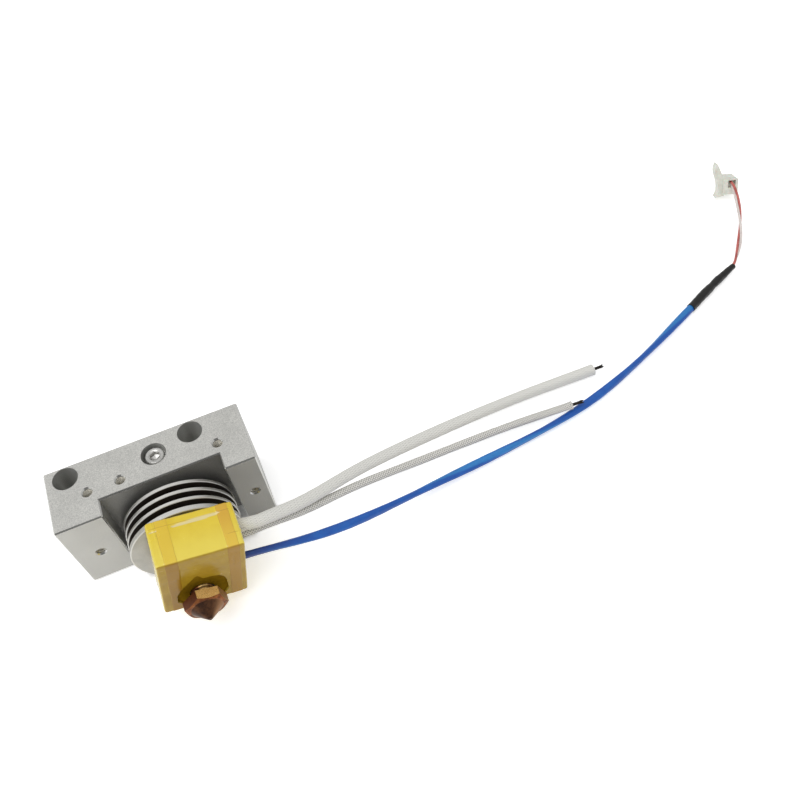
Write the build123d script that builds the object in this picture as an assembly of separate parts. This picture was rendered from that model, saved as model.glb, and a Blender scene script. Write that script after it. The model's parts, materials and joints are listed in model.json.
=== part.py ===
from build123d import *
import os

# Finned hotend on its mounting block, for a fused-filament printer. Millimetres.
# +Z is up: the filament goes in at the top and leaves at the nozzle, along -Z.
# +X runs along the block, towards the side the leads leave. +Y points into the carriage that
# the block's back face is bolted to, so the drilled front face looks along -Y.
# The origin is on the filament axis, in the block's top face.

# Mounting block
BLOCK_LENGTH = 55.0
BLOCK_DEPTH = 28.0
BLOCK_HEIGHT = 20.0
BLOCK_LEFT = -29.6
BLOCK_FRONT = -16.5
BLOCK_BACK = BLOCK_FRONT + BLOCK_DEPTH
EDGE_BREAK = 0.35
NOTCH_WIDTH = 33.2
NOTCH_HEIGHT = 5.45
NOTCH_CEILING = NOTCH_HEIGHT - BLOCK_HEIGHT
INLET_RADIUS = 1.6
INLET_DEPTH = 3.0

# Screw holes, as (x, z) on the front face or (x, y) on the underside
MOUNT_HOLES = [(-24.0, -4.0), (10.9, -4.0)]
MOUNT_HOLE_RADIUS = 1.7
MOUNT_BORE_RADIUS = 3.5
MOUNT_BORE_DEPTH = 12.0
FRONT_TAPPED = [(-19.2, -10.8), (-10.2, -10.8), (17.0, -10.9)]
UNDER_TAPPED = [(-22.8, -1.2), (21.6, -1.2)]
TAPPED_RADIUS = 1.25
TAPPED_DEPTH = 8.0
COUNTERSINK = 0.35

# Retaining screw, an M3 socket head sunk in the front face and aimed at the filament axis
SCREW_Z = -6.7
SCREW_RADIUS = 1.5
SCREW_HEAD_RADIUS = 2.75
SCREW_HEAD_HEIGHT = 3.0
SCREW_BORE_RADIUS = 3.5
SCREW_BORE_DEPTH = 3.8
SOCKET_ACROSS = 2.5
SOCKET_DEPTH = 1.6

# Turned heatsink: a spigot in the block, then a core with four discs
SPIGOT_RADIUS = 6.0
CORE_RADIUS = 7.5
DISC_RADIUS = 15.5
DISC_COUNT = 4
DISC_PITCH = 2.75
DISC_THICKNESS = 1.0
LAST_DISC_THICKNESS = 1.6
FIRST_DISC_TOP = -17.1
SINK_BOTTOM = FIRST_DISC_TOP - (DISC_COUNT - 1) * DISC_PITCH - LAST_DISC_THICKNESS
DISC_FLAT_Y = BLOCK_BACK - 0.5
DISC_EDGE = 0.15

# Heat break, liner and thread sizes
THREAD_RADIUS = 3.0
BREAK_TOP = -19.1
BREAK_NECK_RADIUS = 2.6
BREAK_BOTTOM = -36.0
LINER_RADIUS = 2.0
LINER_BORE = 1.0
CLEARANCE = 0.05

# Heater block and its wrap. Their own u axis is X turned by HEATER_TURN about the filament axis,
# and v is Y turned the same way.
HEATER_TURN = 11.9
HEATER_U = (-9.2, 10.8)
HEATER_V = (-17.0, 4.5)
HEATER_Z = (-41.45, -30.45)
WRAP_U = (-10.5, 12.1)
WRAP_V = (-18.25, 5.85)
WRAP_Z = (-42.8, -29.1)
TAPE = 0.15
WRAP_CORNER = 0.8
LEAD_OPENING = 1.0
BREAK_OPENING = 4.0
NOZZLE_OPENING = 4.2
CARTRIDGE_RADIUS = 3.0
CARTRIDGE_V = -11.35
CARTRIDGE_Z = -34.8
LEAD_SPACING = 3.15
PROBE_RADIUS = 1.5
PROBE_V = -6.2
PROBE_Z = -39.2
PROBE_END_U = 2.0
STUB_END_U = 13.3
GRUB_RADIUS = 1.5
GRUB_LENGTH = 4.0
GRUB_SOCKET = 1.5
# Each set screw's hole runs from its mouth to the middle of the piece it holds, as (u, v, z).
CARTRIDGE_GRUB = ((-5, CARTRIDGE_V, HEATER_Z[0]), (-5, CARTRIDGE_V, CARTRIDGE_Z))
PROBE_GRUB = ((6.5, PROBE_V, HEATER_Z[1]), (6.5, PROBE_V, PROBE_Z))

# Nozzle
HEX_ACROSS = 10.1
HEX_TURN = 20.0
HEX_TOP = -44.6
HEX_BOTTOM = -47.6
HEX_CHAMFER = 0.7
TIP_Z = -50.9
TIP_BASE_RADIUS = 4.3
TIP_FLAT_RADIUS = 0.5
ORIFICE_RADIUS = 0.2

# Leads. Each runs from just outside the wrap towards the back plane.
LEAD_START_U = 15.6
LEAD_START_HEADING = (0.95, 0.2, 0.29)
SLEEVE_RADIUS = 1.8
SLEEVE_INNER = 1.35
LEAD_COVER = 1.2
CONDUCTOR_RADIUS = 0.5
BARE_END = 3.6
SLEEVED_PATH = [
    (29, -6.6, -32.6), (47, -1.9, -26.9), (66, 2.7, -22),
    (85, 6.5, -18.6), (107, 9.1, -16.6), (131, 9.5, -17),
]
BRAIDED_PATH = [
    (29, -3.4, -33.1), (46, 0.3, -29.9), (64, 4.2, -27.5),
    (83, 7.6, -25.6), (101, 8.5, -25.5), (118, 7.6, -27.2),
]
PROBE_START_U = 14.4
PROBE_SLEEVE_RADIUS = 1.28
PROBE_SLEEVE_INNER = 0.98
PROBE_WIRE_RADIUS = 0.36
PROBE_PATH = [
    (34, 1.2, -39.3), (51, 5, -37.4), (70, 8.4, -34.2),
    (98, 10, -31.1), (129, 10, -25.7), (153, 10, -16.9),
]
SPLICE = (171.5, 9.8, -8.8)
SPLICE_END = (194.3, 9.8, 0.9)
SPLICE_TURN = (11, 0, 5)
SPLICE_GAP = 0.2
SHRINK_RADIUS = 1.5
SHRINK_END_RADIUS = 0.95
WIRE_RADIUS = 0.42
WIRE_PITCH = 0.88
WIRE_START = (195.1, 9.8, 1.6)
WIRE_PATH = [(200.6, 10.3, 7.0), (206, 10.2, 13.6), (209.8, 8.8, 19.8), (211.8, 6.3, 25.2)]

# Two-way plug at the end of the signal wires. Its own axes: z along the wires, x across the pair,
# y down through its thickness. It leans in the table plane and tips down to rest on its far edge.
PLUG_ORIGIN = (213.6, 4.9, 31.2)
PLUG_LEAN = 20.0
PLUG_TILT = 25.0
PLUG_X = (-3.0, 2.2)
PLUG_Y = (-1.6, 3.9)
PLUG_LENGTH = 7.0
PLUG_ENTRY = 1.7
PLUG_PITCH = 2.5
LATCH_START = 0.6
LATCH_WIDTH = 3.2


def rod(start, end, radius):
    """A round bar between two points."""
    run = Vector(*end) - Vector(*start)
    return extrude(Plane(origin=start, z_dir=run) * Circle(radius), run.length)


def drilled_from_front(x, z, radius, depth):
    return rod((x, BLOCK_FRONT, z), (x, BLOCK_FRONT + depth, z), radius)


def tapped_hole(mouth, inward, radius, depth):
    """A blind hole's core with a small countersink at its mouth, as one cutting tool."""
    start = Vector(*mouth)
    direction = Vector(*inward)
    core = rod(tuple(start), tuple(start + direction * depth), radius)
    sink = loft([
        Plane(origin=start, z_dir=direction) * Circle(radius + COUNTERSINK),
        Plane(origin=start + direction * COUNTERSINK, z_dir=direction) * Circle(radius),
    ])
    return core + sink


def span_box(u, v, z):
    """A box between two limits on each axis."""
    size = (u[1] - u[0], v[1] - v[0], z[1] - z[0])
    middle = ((u[0] + u[1]) / 2, (v[0] + v[1]) / 2, (z[0] + z[1]) / 2)
    return Pos(*middle) * Box(*size)


def grown(limits, amount):
    return (limits[0] - amount, limits[1] + amount)


def turned(shape):
    """From the heater block's own axes to the frame."""
    return Rot(0, 0, HEATER_TURN) * shape


def heater_point(u, v, z):
    """A point of the heater block's own axes, in the frame."""
    point = Vector(u, v, z).rotate(Axis.Z, HEATER_TURN)
    return (point.X, point.Y, point.Z)


def mount_block():
    right = BLOCK_LEFT + BLOCK_LENGTH
    body = span_box((BLOCK_LEFT, right), (BLOCK_FRONT, BLOCK_BACK), (-BLOCK_HEIGHT, 0))
    half = NOTCH_WIDTH / 2
    body -= span_box((-half, half), (BLOCK_FRONT, BLOCK_BACK), (-BLOCK_HEIGHT, NOTCH_CEILING))
    lengthwise = body.edges().filter_by(Axis.Y)
    inner_corners = lengthwise.filter_by(lambda edge: abs(edge.center().Z - NOTCH_CEILING) < 0.01)
    body = chamfer(body.edges() - inner_corners, EDGE_BREAK)
    for x, z in MOUNT_HOLES:
        body -= drilled_from_front(x, z, MOUNT_HOLE_RADIUS, BLOCK_DEPTH)
        body -= drilled_from_front(x, z, MOUNT_BORE_RADIUS, MOUNT_BORE_DEPTH)
    for x, z in FRONT_TAPPED:
        body -= tapped_hole((x, BLOCK_FRONT, z), (0, 1, 0), TAPPED_RADIUS, TAPPED_DEPTH)
    for x, y in UNDER_TAPPED:
        body -= tapped_hole((x, y, -BLOCK_HEIGHT), (0, 0, 1), TAPPED_RADIUS, TAPPED_DEPTH)
    body -= drilled_from_front(0, SCREW_Z, SCREW_BORE_RADIUS, SCREW_BORE_DEPTH)
    body -= drilled_from_front(0, SCREW_Z, SCREW_RADIUS + CLEARANCE, -BLOCK_FRONT)
    body -= rod((0, 0, NOTCH_CEILING), (0, 0, -INLET_DEPTH), SPIGOT_RADIUS + CLEARANCE)
    body -= rod((0, 0, -INLET_DEPTH), (0, 0, 0), INLET_RADIUS)
    return body


def retaining_screw():
    head_back = BLOCK_FRONT + SCREW_BORE_DEPTH
    head_front = head_back - SCREW_HEAD_HEIGHT
    tip = -SPIGOT_RADIUS - CLEARANCE
    head = rod((0, head_front, SCREW_Z), (0, head_back, SCREW_Z), SCREW_HEAD_RADIUS)
    rim = head.edges().filter_by(GeomType.CIRCLE).sort_by(Axis.Y)[0]
    head = chamfer(rim, 0.3)
    shank = rod((0, head_back, SCREW_Z), (0, tip, SCREW_Z), SCREW_RADIUS)
    shank = chamfer(shank.edges().filter_by(GeomType.CIRCLE).sort_by(Axis.Y)[-1], 0.3)
    socket = RegularPolygon(SOCKET_ACROSS / 2, 6, major_radius=False)
    socket = extrude(Plane(origin=(0, head_front, SCREW_Z), z_dir=(0, 1, 0)) * socket, SOCKET_DEPTH)
    return head + shank - socket


def disc(top, thickness):
    plate = rod((0, 0, top - thickness), (0, 0, top), DISC_RADIUS)
    return chamfer(plate.edges(), DISC_EDGE)


def heatsink():
    seat = NOTCH_CEILING - 0.02
    spigot = rod((0, 0, seat), (0, 0, -INLET_DEPTH - 0.2), SPIGOT_RADIUS)
    spigot = chamfer(spigot.edges().group_by(Axis.Z)[-1], 0.5)
    body = spigot + rod((0, 0, SINK_BOTTOM), (0, 0, seat), CORE_RADIUS)
    for index in range(DISC_COUNT):
        last = index == DISC_COUNT - 1
        thickness = LAST_DISC_THICKNESS if last else DISC_THICKNESS
        body += disc(FIRST_DISC_TOP - index * DISC_PITCH, thickness)
    behind = (DISC_FLAT_Y, DISC_RADIUS + 1)
    body -= span_box((-DISC_RADIUS, DISC_RADIUS), behind, (SINK_BOTTOM - 1, seat))
    body -= rod((0, 0, SINK_BOTTOM), (0, 0, 0), LINER_RADIUS + CLEARANCE)
    body -= rod((0, 0, SINK_BOTTOM), (0, 0, BREAK_TOP + 0.1), THREAD_RADIUS + CLEARANCE)
    return body


def heat_break():
    block_top = HEATER_Z[1]
    upper = rod((0, 0, SINK_BOTTOM), (0, 0, BREAK_TOP), THREAD_RADIUS)
    neck = rod((0, 0, block_top), (0, 0, SINK_BOTTOM), BREAK_NECK_RADIUS)
    lower = rod((0, 0, BREAK_BOTTOM), (0, 0, block_top), THREAD_RADIUS)
    return upper + neck + lower - rod((0, 0, BREAK_BOTTOM), (0, 0, BREAK_TOP), LINER_RADIUS + CLEARANCE)


def ptfe_liner():
    top = -INLET_DEPTH - 0.2
    tube = rod((0, 0, BREAK_BOTTOM), (0, 0, top), LINER_RADIUS)
    return tube - rod((0, 0, BREAK_BOTTOM), (0, 0, top), LINER_BORE)


def heater_block():
    body = span_box(HEATER_U, HEATER_V, HEATER_Z)
    body = chamfer(body.edges(), 0.4)
    body -= rod((0, 0, HEATER_Z[0]), (0, 0, HEATER_Z[1]), THREAD_RADIUS + CLEARANCE)
    cartridge = (CARTRIDGE_V, CARTRIDGE_Z)
    body -= rod((HEATER_U[0], *cartridge), (HEATER_U[1], *cartridge), CARTRIDGE_RADIUS + CLEARANCE)
    probe = (PROBE_V, PROBE_Z)
    body -= rod((PROBE_END_U - 0.5, *probe), (HEATER_U[1], *probe), PROBE_RADIUS + CLEARANCE)
    for mouth, held in (CARTRIDGE_GRUB, PROBE_GRUB):
        body -= rod(mouth, held, GRUB_RADIUS + CLEARANCE)
    return turned(body)


def grub_screw(run, held_radius):
    """A socket set screw that bears on a round piece, its socket towards the hole's mouth."""
    mouth, held = Vector(*run[0]), Vector(*run[1])
    inward = (held - mouth).normalized()
    tip = held - inward * (held_radius + CLEARANCE)
    length = min((tip - mouth).length, GRUB_LENGTH)
    back = tip - inward * length
    screw = rod(tuple(back), tuple(tip), GRUB_RADIUS)
    socket = Plane(origin=back, z_dir=inward) * RegularPolygon(GRUB_SOCKET / 2, 6, major_radius=False)
    return turned(screw - extrude(socket, length / 2))


def heater_cartridge():
    seat = (CARTRIDGE_V, CARTRIDGE_Z)
    can = rod((HEATER_U[0] + 0.2, *seat), (HEATER_U[1], *seat), CARTRIDGE_RADIUS)
    for side in (-1, 1):
        v = CARTRIDGE_V + side * LEAD_SPACING / 2
        can += rod((HEATER_U[1] - 1, v, CARTRIDGE_Z), (STUB_END_U, v, CARTRIDGE_Z), CONDUCTOR_RADIUS)
    return turned(can)


def probe_capsule():
    can = rod((PROBE_END_U, PROBE_V, PROBE_Z), (HEATER_U[1], PROBE_V, PROBE_Z), PROBE_RADIUS)
    can += rod((HEATER_U[1] - 1, PROBE_V, PROBE_Z), (STUB_END_U, PROBE_V, PROBE_Z), PROBE_WIRE_RADIUS)
    return turned(can)


def lead_openings():
    """The cuts in the wrap's right side that the leads leave through."""
    cut = rod((HEATER_U[1], PROBE_V, PROBE_Z), (LEAD_START_U, PROBE_V, PROBE_Z), LEAD_OPENING)
    for side in (-1, 1):
        v = CARTRIDGE_V + side * LEAD_SPACING / 2
        cut += rod((HEATER_U[1], v, CARTRIDGE_Z), (LEAD_START_U, v, CARTRIDGE_Z), LEAD_OPENING)
    return cut


def axis_openings():
    """Round openings for the heat break above the heater block and the nozzle below it."""
    above = rod((0, 0, HEATER_Z[1]), (0, 0, 0), BREAK_OPENING)
    below = rod((0, 0, TIP_Z), (0, 0, HEATER_Z[0]), NOZZLE_OPENING)
    return above + below


def insulation_blanket():
    """A soft sleeve of even thickness between the heater block and the tape."""
    inset = 2 * TAPE + CLEARANCE
    body = span_box(grown(WRAP_U, -inset), grown(WRAP_V, -inset), grown(WRAP_Z, -inset))
    body = fillet(body.edges(), WRAP_CORNER - TAPE)
    cavity = span_box(grown(HEATER_U, CLEARANCE), grown(HEATER_V, CLEARANCE), grown(HEATER_Z, CLEARANCE))
    return turned(body - cavity - lead_openings() - axis_openings())


def rounded_ring(plane, across, along, corner, thickness):
    """A closed band's section: a rounded rectangle less the same one set in by its thickness."""
    middle = plane.origin
    outer = RectangleRounded(across, along, corner)
    inner = RectangleRounded(across - 2 * thickness, along - 2 * thickness, corner - thickness)
    return Plane(origin=middle, x_dir=plane.x_dir, z_dir=plane.z_dir) * (outer - inner)


def tape_band_around():
    """The strip round the four upright sides, under the other strip on the front and back."""
    v = grown(WRAP_V, -TAPE)
    low = WRAP_Z[0] + WRAP_CORNER + TAPE
    high = WRAP_Z[1] - WRAP_CORNER - TAPE
    base = Plane(origin=(sum(WRAP_U) / 2, sum(v) / 2, low))
    section = rounded_ring(base, WRAP_U[1] - WRAP_U[0], v[1] - v[0], WRAP_CORNER, TAPE)
    return turned(extrude(section, high - low) - lead_openings())


def tape_band_over():
    """The strip over the front, underside, back and top."""
    u = grown(WRAP_U, -TAPE - CLEARANCE)
    base = Plane(origin=(u[0], sum(WRAP_V) / 2, sum(WRAP_Z) / 2), x_dir=(0, 1, 0), z_dir=(1, 0, 0))
    section = rounded_ring(base, WRAP_V[1] - WRAP_V[0], WRAP_Z[1] - WRAP_Z[0], WRAP_CORNER, TAPE)
    return turned(extrude(section, u[1] - u[0]) - axis_openings())


def nozzle():
    hexagon = Rot(0, 0, HEX_TURN) * RegularPolygon(HEX_ACROSS / 2, 6, major_radius=False)
    prism = extrude(Pos(0, 0, HEX_BOTTOM) * hexagon, HEX_TOP - HEX_BOTTOM)
    corner_radius = HEX_ACROSS / 2 / 0.866 + 0.02
    blank = rod((0, 0, HEX_BOTTOM), (0, 0, HEX_TOP), corner_radius)
    prism &= chamfer(blank.edges().group_by(Axis.Z)[0], HEX_CHAMFER, HEX_CHAMFER * 1.6)
    point, base = Circle(TIP_FLAT_RADIUS), Circle(TIP_BASE_RADIUS)
    tip = loft([Pos(0, 0, TIP_Z) * point, Pos(0, 0, HEX_BOTTOM) * base])
    thread_top = BREAK_BOTTOM - 0.1
    thread = rod((0, 0, HEX_TOP), (0, 0, thread_top), THREAD_RADIUS)
    filament_way = rod((0, 0, TIP_Z + 1.4), (0, 0, thread_top), LINER_BORE)
    orifice = rod((0, 0, TIP_Z), (0, 0, TIP_Z + 1.4), ORIFICE_RADIUS)
    return prism + tip + thread - filament_way - orifice


def lead_line(start, points, tangent):
    return Spline([start] + points, tangents=[tangent, Vector(*points[-1]) - Vector(*points[-2])])


def pipe(line, radius, bore=0.0, offsets=((0, 0),)):
    """A round bar or tube along a line, or several side by side."""
    section = Plane(origin=line @ 0, z_dir=line % 0)
    rings = Sketch()
    for across, along in offsets:
        ring = Circle(radius) - Circle(bore) if bore else Circle(radius)
        rings += Pos(across, along) * ring
    return sweep(section * rings, path=line)


def heater_lead_line(side, points):
    start = heater_point(LEAD_START_U, CARTRIDGE_V + side * LEAD_SPACING / 2, CARTRIDGE_Z)
    return lead_line(start, points, Vector(*LEAD_START_HEADING))


def bare_end(line):
    """The stretch of stripped, twisted conductor beyond a lead's cover."""
    return rod(tuple(line @ 1), tuple(line @ 1 + line % 1 * BARE_END), CONDUCTOR_RADIUS)


def sleeved_line():
    return heater_lead_line(-1, SLEEVED_PATH)


def braided_line():
    return heater_lead_line(1, BRAIDED_PATH)


def conductor(line):
    return pipe(line, CONDUCTOR_RADIUS) + bare_end(line)


def probe_line():
    start = heater_point(PROBE_START_U, PROBE_V, PROBE_Z)
    return lead_line(start, PROBE_PATH + [SPLICE], Vector(*heater_point(1, 0, 0)))


def splice_line():
    lead = probe_line()
    start = lead @ 1 + lead % 1 * SPLICE_GAP
    middle = Vector(*SPLICE) + Vector(*SPLICE_TURN)
    end = Vector(*SPLICE_END)
    return Spline([start, middle, end], tangents=[lead % 1, end - middle])


def heat_shrink():
    """A tapered tube over the join between the probe's leads and the signal wires."""
    line = splice_line()
    outer = []
    for place, radius in ((0, SHRINK_RADIUS), (0.5, SHRINK_RADIUS * 0.95), (1, SHRINK_END_RADIUS)):
        outer.append(Plane(origin=line @ place, z_dir=line % place) * Circle(radius))
    return loft(outer)


def wire_line():
    plug = plug_axes()
    end = plug.from_local_coords((0, 0, PLUG_ENTRY - 0.1))
    return Spline([WIRE_START] + WIRE_PATH + [end], tangents=[Vector(0.72, 0, 0.69), plug.z_dir])


def signal_wire(side):
    line = wire_line()
    across = Plane(origin=line @ 0, x_dir=(0, 1, 0), z_dir=line % 0)
    return sweep(across * Pos(side * WIRE_PITCH / 2, 0) * Circle(WIRE_RADIUS), path=line)


def plug_axes():
    along = Vector(0, 0, 1).rotate(Axis.X, -PLUG_TILT).rotate(Axis.Y, PLUG_LEAN)
    across = Vector(1, 0, 0).rotate(Axis.Y, PLUG_LEAN)
    return Plane(origin=PLUG_ORIGIN, x_dir=across, z_dir=along)


def cavity_middles():
    """Where the two contact cavities lie across the plug."""
    middle = sum(PLUG_X) / 2
    return [(middle + side * PLUG_PITCH / 2, sum(PLUG_Y) / 2) for side in (-1, 1)]


def connector_housing():
    """The plug's body, open at both ends, with a curved latch moulded on its left."""
    body = span_box(PLUG_X, PLUG_Y, (0, PLUG_LENGTH))
    body = fillet(body.edges().filter_by(Axis.Z), 0.5)
    body -= span_box((-1.3, 1.3), (-1.1, 1.6), (0, PLUG_ENTRY))
    for x, y in cavity_middles():
        body -= span_box((x - 0.8, x + 0.8), (y - 0.8, y + 0.8), (PLUG_ENTRY + 0.5, PLUG_LENGTH))
    left = PLUG_X[0]
    with BuildLine() as outline:
        foot, tip, root = (left - 2.3, 4.9), (left - 2.4, -7.2), (left + 0.2, -1.0)
        Polyline(root, (left + 0.2, 3.6), (left + 0.9, 4.5), foot)
        Spline(foot, (left - 1.5, 1.4), (left - 2.2, -1.6), (left - 3.0, -4.4), tip)
        Spline(tip, (left - 1.0, -4.6), root)
    latch = extrude(Plane(origin=(0, 0, LATCH_START)) * make_face(outline.line), LATCH_WIDTH)
    return plug_axes().location * (body + latch)


def connector_contacts():
    """Two crimped sockets in the housing's cavities."""
    pieces = Part()
    for x, y in cavity_middles():
        shell = span_box((x - 0.7, x + 0.7), (y - 0.7, y + 0.7), (PLUG_ENTRY + 1, PLUG_LENGTH - 0.8))
        pieces += shell - span_box((x - 0.4, x + 0.4), (y - 0.4, y + 0.4), (PLUG_ENTRY + 1, PLUG_LENGTH))
    return plug_axes().location * pieces


def build():
    sleeved = sleeved_line()
    braided = braided_line()
    probe = probe_line()
    pair = ((-PROBE_WIRE_RADIUS - 0.03, 0), (PROBE_WIRE_RADIUS + 0.03, 0))
    return {
        "mount_block": mount_block(),
        "retaining_screw": retaining_screw(),
        "heatsink": heatsink(),
        "heat_break": heat_break(),
        "ptfe_liner": ptfe_liner(),
        "heater_block": heater_block(),
        "heater_cartridge": heater_cartridge(),
        "cartridge_set_screw": grub_screw(CARTRIDGE_GRUB, CARTRIDGE_RADIUS),
        "probe_capsule": probe_capsule(),
        "probe_set_screw": grub_screw(PROBE_GRUB, PROBE_RADIUS),
        "insulation_blanket": insulation_blanket(),
        "tape_band_around": tape_band_around(),
        "tape_band_over": tape_band_over(),
        "nozzle": nozzle(),
        "sleeved_lead_conductor": conductor(sleeved),
        "sleeved_lead_insulation": pipe(sleeved, SLEEVE_INNER - CLEARANCE, CONDUCTOR_RADIUS + CLEARANCE),
        "sleeved_lead_sleeve": pipe(sleeved, SLEEVE_RADIUS, SLEEVE_INNER),
        "braided_lead_conductor": conductor(braided),
        "braided_lead_cover": pipe(braided, LEAD_COVER, CONDUCTOR_RADIUS + CLEARANCE),
        "probe_lead_wires": pipe(probe, PROBE_WIRE_RADIUS, offsets=pair),
        "probe_lead_sleeve": pipe(probe, PROBE_SLEEVE_RADIUS, PROBE_SLEEVE_INNER),
        "heat_shrink": heat_shrink(),
        "signal_wire_red": signal_wire(-1),
        "signal_wire_white": signal_wire(1),
        "connector_housing": connector_housing(),
        "connector_contacts": connector_contacts(),
    }


os.makedirs("parts", exist_ok=True)
for node, shape in build().items():
    export_step(shape, f"parts/{node}.step")
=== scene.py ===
import json
import math

import bpy
import numpy as np
from mathutils import Matrix, Vector, noise


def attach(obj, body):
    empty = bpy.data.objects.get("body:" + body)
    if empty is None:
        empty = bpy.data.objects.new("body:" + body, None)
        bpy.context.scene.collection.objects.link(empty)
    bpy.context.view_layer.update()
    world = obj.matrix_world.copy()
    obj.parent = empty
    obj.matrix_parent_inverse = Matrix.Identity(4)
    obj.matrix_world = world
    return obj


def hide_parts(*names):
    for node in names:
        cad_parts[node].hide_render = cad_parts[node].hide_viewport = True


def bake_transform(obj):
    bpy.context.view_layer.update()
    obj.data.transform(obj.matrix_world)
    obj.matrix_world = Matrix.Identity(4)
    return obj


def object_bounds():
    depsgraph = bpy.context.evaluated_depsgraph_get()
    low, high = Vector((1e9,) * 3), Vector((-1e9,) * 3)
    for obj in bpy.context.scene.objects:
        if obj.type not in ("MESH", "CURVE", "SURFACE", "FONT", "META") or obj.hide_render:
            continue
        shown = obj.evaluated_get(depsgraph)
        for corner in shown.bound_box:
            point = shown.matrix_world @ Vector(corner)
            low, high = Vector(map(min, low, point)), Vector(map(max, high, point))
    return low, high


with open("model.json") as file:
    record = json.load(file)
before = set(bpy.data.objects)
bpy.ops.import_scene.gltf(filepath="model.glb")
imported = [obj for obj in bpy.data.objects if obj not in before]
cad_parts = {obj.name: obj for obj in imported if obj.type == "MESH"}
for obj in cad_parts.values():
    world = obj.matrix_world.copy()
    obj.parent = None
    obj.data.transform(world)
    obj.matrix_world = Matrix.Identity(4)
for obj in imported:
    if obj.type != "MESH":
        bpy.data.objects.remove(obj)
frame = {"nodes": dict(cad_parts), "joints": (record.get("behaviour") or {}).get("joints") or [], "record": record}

# The looks of a finned hotend on its mounting block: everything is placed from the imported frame.
# Lengths are millimetres, and colours display values from 0 to 255, unless a comment says otherwise.
MM = 0.001
CAD_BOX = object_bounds()
NODES = frame["nodes"]
JOINTS = {joint["name"]: joint for joint in frame["joints"]}
MOUNTS = {mount["name"]: mount for mount in frame["record"]["mounts"]}
X, Y, Z = np.eye(3)

# The heater block's own axes: u and v are X and Y turned about the filament axis.
AXIS_V = np.array(JOINTS["probe_lead_flex"]["axis"], float)
AXIS_U = np.array([AXIS_V[1], -AXIS_V[0], 0.0])
OWN = np.array([AXIS_U, AXIS_V, Z])


# ---- positions from the frame

def rows_of(items, key, width, kind):
    """A property of every vertex or edge of a mesh, one row each."""
    flat = np.zeros(len(items) * width, kind)
    items.foreach_get(key, flat)
    return flat.reshape(-1, width)


def points_of(node):
    """A CAD node's vertices in the row frame, in millimetres."""
    return rows_of(NODES[node].data.vertices, "co", 3, np.float32).astype(float) / MM


def edges_of(node):
    return rows_of(NODES[node].data.edges, "vertices", 2, np.int32)


def limits(*nodes, axes=np.eye(3)):
    """The lowest and highest corner over some nodes, along X, Y and Z or along other axes."""
    points = np.vstack([points_of(node) @ axes.T for node in nodes])
    return points.min(0), points.max(0)


BLOCK_LOW, BLOCK_HIGH = limits("mount_block")
SINK_LOW, SINK_HIGH = limits("heatsink")
SCREW_LOW, SCREW_HIGH = limits("retaining_screw")
WRAP_LOW, WRAP_HIGH = limits("tape_band_around", "tape_band_over", axes=OWN)
# The wrap's side that the leads leave through, along u.
WALL = limits("tape_band_around", axes=OWN)[1][0]


def lengths(vectors):
    return np.linalg.norm(vectors, axis=-1)


def unit(vectors):
    """One vector, or each row of several, at length 1."""
    vectors = np.array(vectors, float)
    return vectors / lengths(vectors)[..., None]


def mid_extent(points, directions, origin):
    """The point midway between the extremes of some points along two directions."""
    middle = np.array(origin, float)
    for direction in directions:
        along = (points - origin) @ direction
        middle = middle + direction * (along.min() + along.max()) / 2
    return middle


def square_to(direction):
    """Two unit vectors square to a direction and to each other."""
    first = unit(np.cross(direction, Z if abs(direction[2]) < 0.8 else X))
    return first, np.cross(direction, first)


# How far an end face's points may lie behind the furthest one, since its tilt is only nearly known.
CAP_SLACK = 0.12


def cap_centre(points, direction):
    """The middle of the end face that lies furthest along a direction."""
    along = points @ direction
    face = points[along > along.max() - CAP_SLACK]
    return mid_extent(face, square_to(direction), face[0])


def slice_centre(points, edges, origin, normal, reach):
    """The middle of a mesh's cut by a plane, within reach of the origin, or None past its end."""
    side = (points - origin) @ normal
    a, b = side[edges[:, 0]], side[edges[:, 1]]
    crossing = (a < 0) != (b < 0)
    a, b = a[crossing], b[crossing]
    start, end = points[edges[crossing, 0]], points[edges[crossing, 1]]
    cut = start + (a / (a - b))[:, None] * (end - start)
    cut = cut[lengths(cut - origin) < reach]
    # Fewer points than this are a graze of the end face.
    if len(cut) < 6:
        return None
    return mid_extent(cut, square_to(normal), origin)


def starting_heading(points, edges, direction, reach, ahead=1.2):
    """The way a swept node sets off from its first end, refined from a rough direction."""
    heading = unit(direction)
    for _ in range(3):
        first = points[np.argmin(points @ heading)]
        near = slice_centre(points, edges, first + heading * ahead, heading, 2 * reach)
        far = slice_centre(points, edges, near + heading * ahead, heading, reach)
        heading = unit(far - near)
    return heading


def centreline(node, direction, reach, spacing=2.0):
    """Walks along a swept CAD node from the end that faces back along a direction."""
    points, edges = points_of(node), edges_of(node)
    heading = starting_heading(points, edges, direction, reach)
    line = [cap_centre(points, -heading)]
    while True:
        ahead = slice_centre(points, edges, line[-1] + heading * spacing, heading, reach)
        if ahead is None:
            break
        better = slice_centre(points, edges, ahead, unit(ahead - line[-1]), reach)
        line.append(ahead if better is None else better)
        heading = unit(line[-1] - line[-2])
    end = cap_centre(points[lengths(points - line[-1]) < reach * 2], heading)
    if lengths(end - line[-1]) < spacing / 2:
        line.pop()
    return np.array(line + [end])


def resampled(line, count=None, spacing=None):
    """A line's evenly spaced points, by their number or spacing, and their distances along it."""
    run = np.concatenate([[0], np.cumsum(lengths(np.diff(line, axis=0)))])
    places = np.linspace(0, run[-1], count or max(2, int(round(run[-1] / spacing)) + 1))
    return np.stack([np.interp(places, run, line[:, k]) for k in range(3)], axis=1), places


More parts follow.
